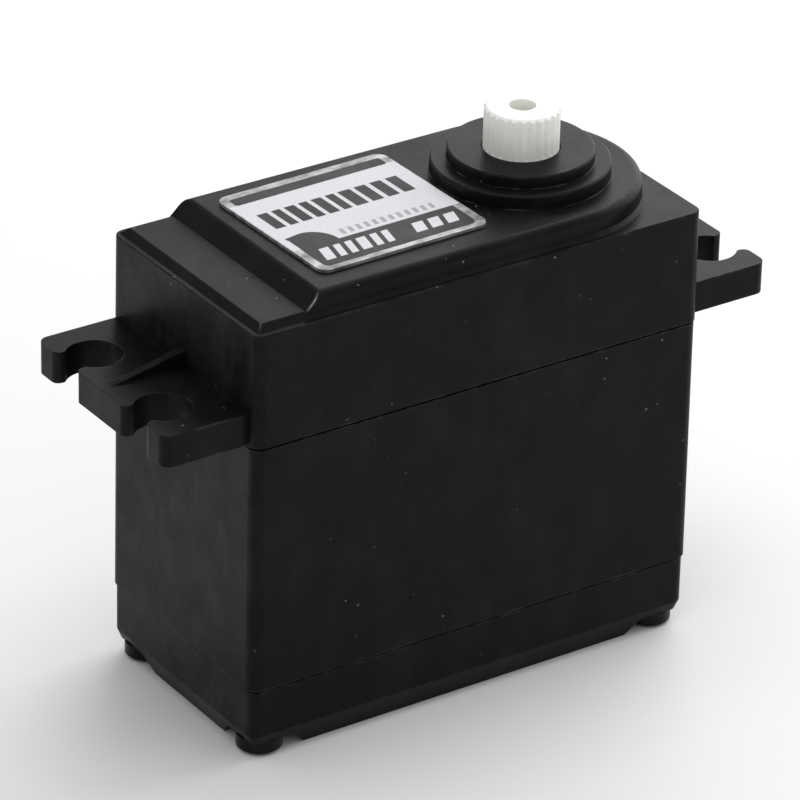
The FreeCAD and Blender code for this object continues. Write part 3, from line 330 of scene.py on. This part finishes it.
def case_plastic():
    """Black moulded nylon: eroded grain, faint flow marks, scuffs, pale edges that are partly worn
    and partly a painted highlight, dust specks, a painted glint at the ring feet and painted
    highlights on two corners.
    """
    s = Shader("case_plastic", BLACK, 0.36, specular=0.085)
    grain = s.noise(5200.0, 2.0, 0.6)
    cloud = s.noise(160.0, 4.0, 0.6)
    scuffs = s.mask(s.noise(260.0, 6.0, 0.7, (1.0, 1.0, 0.7)), 0.45, 0.85)
    held = s.mask(s.noise(330.0, 6.0, 0.7, (1.0, 1.0, 0.75)), 0.42, 0.78)
    # Pale outer edges: partly really worn, partly a painted edge highlight.
    wear_and_highlight = s.both(s.outer_edges(EDGE_REACH), s.mask(s.noise(700.0, 3.0), 0.45, 0.75))

    base = s.mix(cloud, BLACK_DEEP, BLACK_PALE)
    base = s.mix(scuffs, base, SCUFFED)
    base = s.mix(s.both(held, s.end_walls()), base, HANDLED)
    base = s.mix(wear_and_highlight, base, WORN_EDGE_AND_HIGHLIGHT)
    # Painted glint: a pale line, broken by noise, in the inside corners at the ring feet.
    base = s.mix(foot_glint(s), base, PAINTED_GLINT)
    # Painted highlights: near the platform's and the pad's near left corners, the edges are mixed
    # towards a bright grey.
    corner_edges = s.outer_edges(CORNER_REACH, 0.5, 0.7)
    for point, reach in highlighted_corners():
        base = s.mix(s.both(corner_edges, s.near(point, reach)), base, PAINTED_HIGHLIGHT)
    base = s.mix(dust_specks(s), base, DUST_SPECK)
    s.colour(base)

    fine = s.ramp(grain, -0.05, 0.05, *WIDE)
    s.roughness(s.calc("ADD", fine, s.ramp(cloud, 0.33, 0.42, *WIDE)))
    s.soft_edges(CASE_EDGE_RADIUS)
    s.bump(grain, GRAIN_DEPTH, 0.5)
    return s.done()


# ---- the other materials ----
METAL_EDGE = 0.00005
PLASTIC_EDGE = 0.00006

# Colour, roughness, and how the marks are stretched along x, y and z.
METALS = {
    "screw_steel": dict(colour=(0.02, 0.02, 0.021), roughness=0.42, stretch=(1.0, 1.0, 4.0)),
    "pin_steel": dict(colour=(0.62, 0.62, 0.64), roughness=0.22, stretch=(1.0, 1.0, 6.0)),
    "pinion_brass": dict(colour=(0.80, 0.60, 0.27), roughness=0.26, stretch=(1.0, 1.0, 5.0)),
    "bearing_steel": dict(colour=(0.70, 0.71, 0.72), roughness=0.15, stretch=(1.0, 1.0, 8.0),
                          spread=0.06),
    "cage_brass": dict(colour=(0.76, 0.58, 0.30), roughness=0.32),
    "motor_steel": dict(colour=(0.56, 0.56, 0.55), roughness=0.36, stretch=(1.0, 1.0, 0.2)),
    "bushing_bronze": dict(colour=(0.55, 0.38, 0.2), roughness=0.45),
    "spring_brass": dict(colour=(0.82, 0.62, 0.28), roughness=0.3, stretch=(6.0, 1.0, 1.0)),
    "core_iron": dict(colour=(0.34, 0.33, 0.32), roughness=0.5, stretch=(0.2, 0.2, 9.0)),
    "winding_copper": dict(colour=(0.62, 0.23, 0.09), roughness=0.28, stretch=(1.0, 1.0, 0.1),
                           scale=3500.0),
    "commutator_copper": dict(colour=(0.74, 0.36, 0.2), roughness=0.3, stretch=(0.4, 0.4, 6.0)),
    "tinned_metal": dict(colour=(0.72, 0.72, 0.70), roughness=0.35),
    "capacitor_can": dict(colour=(0.5, 0.51, 0.55), roughness=0.3),
}

PLASTICS = {
    "grommet_rubber": dict(colour=(0.012, 0.012, 0.012), roughness=0.6, specular=0.3,
                           grain=2200.0),
    "magnet_ferrite": dict(colour=(0.045, 0.045, 0.05), roughness=0.55, specular=0.5,
                           grain=1800.0, depth=0.00002),
    "sensor_plastic": dict(colour=(0.03, 0.07, 0.13), roughness=0.4),
    "track_carbon": dict(colour=(0.02, 0.02, 0.02), roughness=0.5),
    "wire_insulation": dict(colour=(0.42, 0.03, 0.02), roughness=0.42),
    "board_laminate": dict(colour=(0.015, 0.13, 0.05), roughness=0.32, specular=0.5,
                           grain=2600.0),
    "chip_plastic": dict(colour=(0.02, 0.02, 0.022), roughness=0.5),
}

WHITE_NYLONS = {
    "gear_nylon": (0.93, 0.935, 0.9),
    "motor_nylon": (0.72, 0.71, 0.66),
}

FOIL = (0.25, 0.255, 0.26)
FOIL_PALE = (0.46, 0.462, 0.455)
FOIL_DARK = (0.13, 0.132, 0.13)


def nylon_white(name, colour):
    """White nylon: slightly translucent, waxy, with faint flow marks."""
    s = Shader(name, colour, 0.38, specular=0.45)
    s.colour(s.mix(s.mask(s.noise(500.0, 3.0), *NARROW), colour, scaled(colour, 0.93)))
    s.roughness(s.ramp(s.noise(2600.0, 2.0), 0.32, 0.46, *WIDE))
    s.bsdf.inputs["Subsurface Weight"].default_value = 0.55
    s.bsdf.inputs["Subsurface Radius"].default_value = (1.0, 0.95, 0.8)
    s.bsdf.inputs["Subsurface Scale"].default_value = 0.0012
    s.soft_edges(PLASTIC_EDGE)
    s.bump(s.noise(3200.0, 2.0), GRAIN_DEPTH, 0.4)
    return s.done()


def metal(name, colour, roughness, stretch=(1.0, 1.0, 1.0), scale=2500.0, spread=0.1):
    """A metal with fine drawn or turned marks and brighter edges."""
    s = Shader(name, colour, roughness, metallic=1.0)
    marks = s.noise(scale, 3.0, 0.6, stretch)
    base = s.mix(s.mask(marks, *WIDE), colour, scaled(colour, 0.72))
    s.colour(s.mix(s.edges(METAL_EDGE * 2), base, lifted(colour, 1.15, 0.02)))
    s.roughness(s.ramp(marks, roughness - spread, roughness + spread, *WIDE))
    s.soft_edges(METAL_EDGE)
    s.bump(marks, FINE_DEPTH, 0.5)
    return s.done()


def plastic(name, colour, roughness, specular=0.4, grain=3000.0, depth=GRAIN_DEPTH, spread=0.07):
    """A plain moulded or pressed material with a fine grain, mottled colour and rubbed edges."""
    s = Shader(name, colour, roughness, specular=specular)
    mottle = s.noise(grain / 6, 3.0)
    fine = s.noise(grain, 2.0)
    base = s.mix(s.mask(mottle, *WIDE), colour, scaled(colour, 0.78))
    s.colour(s.mix(s.edges(0.00015), base, lifted(colour, 1.3, 0.01)))
    s.roughness(s.ramp(fine, roughness - spread, roughness + spread, *WIDE))
    s.soft_edges(PLASTIC_EDGE)
    s.bump(fine, depth, 0.5)
    return s.done()


def label_foil():
    """Brushed silver film: the rim and the ground of the label."""
    s = Shader("label_foil", FOIL, 0.36, metallic=0.35, specular=0.15)
    brush = s.noise(1500.0, 3.0, 0.6, (1.0, 14.0, 1.0))
    blotch = s.noise(1100.0, 4.0, 0.65, (0.5, 1.0, 1.0))
    s.colour(s.mix(s.mask(blotch, *NARROW), FOIL_PALE, FOIL_DARK))
    s.roughness(s.ramp(brush, 0.26, 0.44, *WIDE))
    s.bump(brush, FINE_DEPTH, 0.5)
    return s.done()


def printed(name, colour, roughness=0.38, mottle=0.12):
    """Printed ink under a clear film: even colour with a fine dot and a faint wave."""
    s = Shader(name, colour, roughness, specular=0.12)
    dots = s.noise(6500.0, 1.0)
    wave = s.noise(300.0, 2.0)
    s.colour(s.mix(s.mask(dots, *NARROW), colour, scaled(colour, 1.0 - mottle)))
    s.roughness(s.ramp(wave, roughness - 0.06, roughness + 0.08, *WIDE))
    s.bump(wave, GRAIN_DEPTH, 0.35)
    return s.done()


def slot_materials():
    """One material for each slot that the record names."""
    made = {"case_plastic": case_plastic(), "label_film": label_foil()}
    made.update({name: nylon_white(name, colour) for name, colour in WHITE_NYLONS.items()})
    made.update({name: metal(name, **values) for name, values in METALS.items()})
    made.update({name: plastic(name, **values) for name, values in PLASTICS.items()})
    return made


def paint_nodes(materials):
    for entry in RECORD["subparts"]:
        node = NODES[entry["node"]]
        node.data.materials.clear()
        node.data.materials.append(materials[entry["material_slot"]])


# ---- label print, in mm in the label's own frame ----
LABEL_TURN = math.radians(1.3)
LABEL_CORNER_INSET = 6.3    # from the label's middle to the centres of its rounded corners
INK = 0.012                 # thickness of one layer

LABEL_RIM = 0.75
FIELD_RIM = 0.06        # the field runs almost to the label's left and right edges
BAND_HEIGHT = 1.85      # from the label's top edge to the field
FOOT_HEIGHT = 3.9       # from the label's bottom edge to the field
FOOT_DROP = 0.15
FOOT_CORNER = 0.6
HUMP = 2.2

BAR_Y = (0.5, 3.2)
LONG_WORD = (0.9, 0.75, 0.9, 0.75, 0.9, 0.75, 1.1)
SHORT_WORD = (1.0, 1.0, 1.0)
DASH_Y = (-2.85, -2.05)
DASHES = (0.34,) * 12
STRIPES = (0.85, 0.6, 0.6, 0.85, 0.6, 0.6)

WHITE_INK = (0.68, 0.68, 0.71)
DARK_INK = (0.042, 0.039, 0.042)
GREY_INK = (0.36, 0.36, 0.38)


def arc(cx, cy, rx, ry, start, end, steps):
    angles = [math.radians(start + (end - start) * k / steps) for k in range(steps + 1)]
    return [(cx + rx * math.cos(a), cy + ry * math.sin(a)) for a in angles]


def rounded_outline(x0, x1, y0, y1, r, steps):
    """Corner points of a rounded rectangle, anticlockwise."""
    middles = ((x1 - r, y1 - r), (x0 + r, y1 - r), (x0 + r, y0 + r), (x1 - r, y0 + r))
    points = []
    for quarter, (cx, cy) in enumerate(middles):
        points += arc(cx, cy, r, r, 90 * quarter, 90 * quarter + 90, steps)
    return points


def row_of_bars(x, y0, y1, widths, gap, lean=0.0):
    """Upright or leaning bars, one after another from x."""
    outlines = []
    for width in widths:
        outlines.append([(x, y0), (x + width, y0), (x + width + lean, y1), (x + lean, y1)])
        x += width + gap
    return outlines


def label_place():
    """The label's own frame, turned with it, and its half width and half height in mm."""
    low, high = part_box("label")
    centre = (low + high) / 2
    turned = math.sin(LABEL_TURN) * LABEL_CORNER_INSET
    half_w = (high.x - low.x) / 2 / MM - turned
    half_h = (high.y - low.y) / 2 / MM - turned
    upright = Matrix.Translation((centre.x, centre.y, high.z))
    return upright @ Matrix.Rotation(LABEL_TURN, 4, "Z"), half_w, half_h


def new_piece(name, verts, faces, material):
    """An object in the scene with the given mesh and material."""
    mesh = bpy.data.meshes.new(name)
    mesh.from_pydata(verts, [], faces)
    mesh.materials.append(material)
    piece = bpy.data.objects.new(name, mesh)
    bpy.context.scene.collection.objects.link(piece)
    return piece


def print_layer(name, outlines, level, material, place):
    """One printed layer of ink. Level counts the layers of ink under it."""
    verts, faces = [], []
    for outline in outlines:
        first, count = len(verts), len(outline)
        foot, head = range(first, first + count), range(first + count, first + 2 * count)
        for z in (level * INK, (level + 1) * INK):
            verts += [(x * MM, y * MM, z * MM) for x, y in outline]
        faces += [tuple(reversed(foot)), tuple(head)]
        faces += [(foot[k - 1], foot[k], head[k], head[k - 1]) for k in range(count)]
    piece = new_piece(name, verts, faces, material)
    piece.matrix_world = place
    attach(piece, "case")


def label_print():
    """A generic print: a dark band, a white field with plain bars, and a dark foot with bars."""
    place, half_w, half_h = label_place()
    white = printed("label_white", WHITE_INK)
    dark = printed("label_dark", DARK_INK, 0.45, 0.35)
    grey = printed("label_grey", GREY_INK)
    left, right = -half_w + LABEL_RIM, half_w - LABEL_RIM
    top, bottom = half_h - LABEL_RIM, -half_h + LABEL_RIM - FOOT_DROP
    field_top, field_bottom = half_h - BAND_HEIGHT, -half_h + FOOT_HEIGHT

    field = rounded_outline(-half_w + FIELD_RIM, half_w - FIELD_RIM, field_bottom, field_top,
                            0.1, 2)
    print_layer("label_field", [field], 0, white, place)
    band = rounded_outline(left, right, field_top - 0.05, top, 0.2, 3)
    print_layer("label_band", [band], 1, dark, place)

    hump_top = field_bottom + HUMP
    foot_y = bottom + FOOT_CORNER
    swoosh = arc(left + 1.3, field_bottom, 2.1, 2.25, 0, 90, 12)
    swoosh += [(left - 0.1, hump_top - 0.15), (left, hump_top - 0.6)]
    swoosh += arc(left + FOOT_CORNER, foot_y, FOOT_CORNER, FOOT_CORNER, 180, 270, 5)
    swoosh += arc(right - FOOT_CORNER, foot_y, FOOT_CORNER, FOOT_CORNER, 270, 360, 5)
    swoosh += [(right, field_bottom)]
    print_layer("label_swoosh", [swoosh], 1, dark, place)

    bars = row_of_bars(left + 0.35, *BAR_Y, LONG_WORD, 0.4)
    bars += row_of_bars(left + 9.2, *BAR_Y, SHORT_WORD, 0.45)
    print_layer("label_bars", bars, 1, dark, place)

    dashes = row_of_bars(left + 4.1, *DASH_Y, DASHES, 0.4, 0.1)
    print_layer("label_dashes", dashes, 1, grey, place)

    stripes = row_of_bars(left + 0.6, bottom + 0.75, bottom + 2.6, STRIPES, 0.42, 0.45)
    stripes += row_of_bars(right - 4.9, bottom + 0.95, bottom + 2.4, SHORT_WORD, 0.45, 0.45)
    print_layer("label_stripes", stripes, 2, white, place)


# ---- studio ----
FLOOR_GAP = 0.00001
FLOOR_HALF = 6.0
FLOOR_GREY = (0.84, 0.84, 0.84)
FLOOR_DARKER = (0.835, 0.835, 0.835)
FLOOR_LIGHTER = (0.845, 0.845, 0.845)

WORLD_STRENGTH = 0.58
LIGHT_TARGET = Vector((0.0, 0.0, 0.0))

# Name, place, size and power in watts.
LIGHTS = (
    ("key", (0.450, 0.182, 0.258), (0.75, 0.5), 2.7),
    ("overhead", (0.0, 0.0, 1.1), (0.9, 0.9), 4.2),
)


def floor_material():
    """Even pale grey. Its back is clear, so the underside of the object can be seen from below."""
    s = Shader("floor", FLOOR_GREY, 0.6, specular=0.2)
    s.colour(s.mix(s.noise(3.0, 2.0), FLOOR_DARKER, FLOOR_LIGHTER))
    back = s.new("ShaderNodeNewGeometry").outputs["Backfacing"]
    s.links.new(s.ramp(back, 1.0, 0.0, 0.0, 1.0), s.bsdf.inputs["Alpha"])
    return s.done()


def make_floor():
    """A wide floor just under the object."""
    low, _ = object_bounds()
    size = FLOOR_HALF
    corners = [(-size, -size), (size, -size), (size, size), (-size, size)]
    verts = [(x, y, low.z - FLOOR_GAP) for x, y in corners]
    floor = new_piece("floor", verts, [(0, 1, 2, 3)], floor_material())


def area_light(name, place, size, power):
    data = bpy.data.lights.new(name, "AREA")
    data.shape = "RECTANGLE"
    data.size, data.size_y = size
    data.energy = power
    light = bpy.data.objects.new(name, data)
    light.location = place
    light.rotation_mode = "QUATERNION"
    light.rotation_quaternion = (LIGHT_TARGET - Vector(place)).to_track_quat("-Z", "Y")
    bpy.context.scene.collection.objects.link(light)


def make_lights():
    world = bpy.data.worlds.new("studio")
    world.use_nodes = True
    background = world.node_tree.nodes["Background"]
    background.inputs["Color"].default_value = (1.0, 1.0, 1.0, 1.0)
    background.inputs["Strength"].default_value = WORLD_STRENGTH
    bpy.context.scene.world = world
    for light in LIGHTS:
        area_light(*light)


bpy.context.scene.view_settings.view_transform = "Standard"
make_camera()
paint_nodes(slot_materials())
label_print()
make_floor()
make_lights()
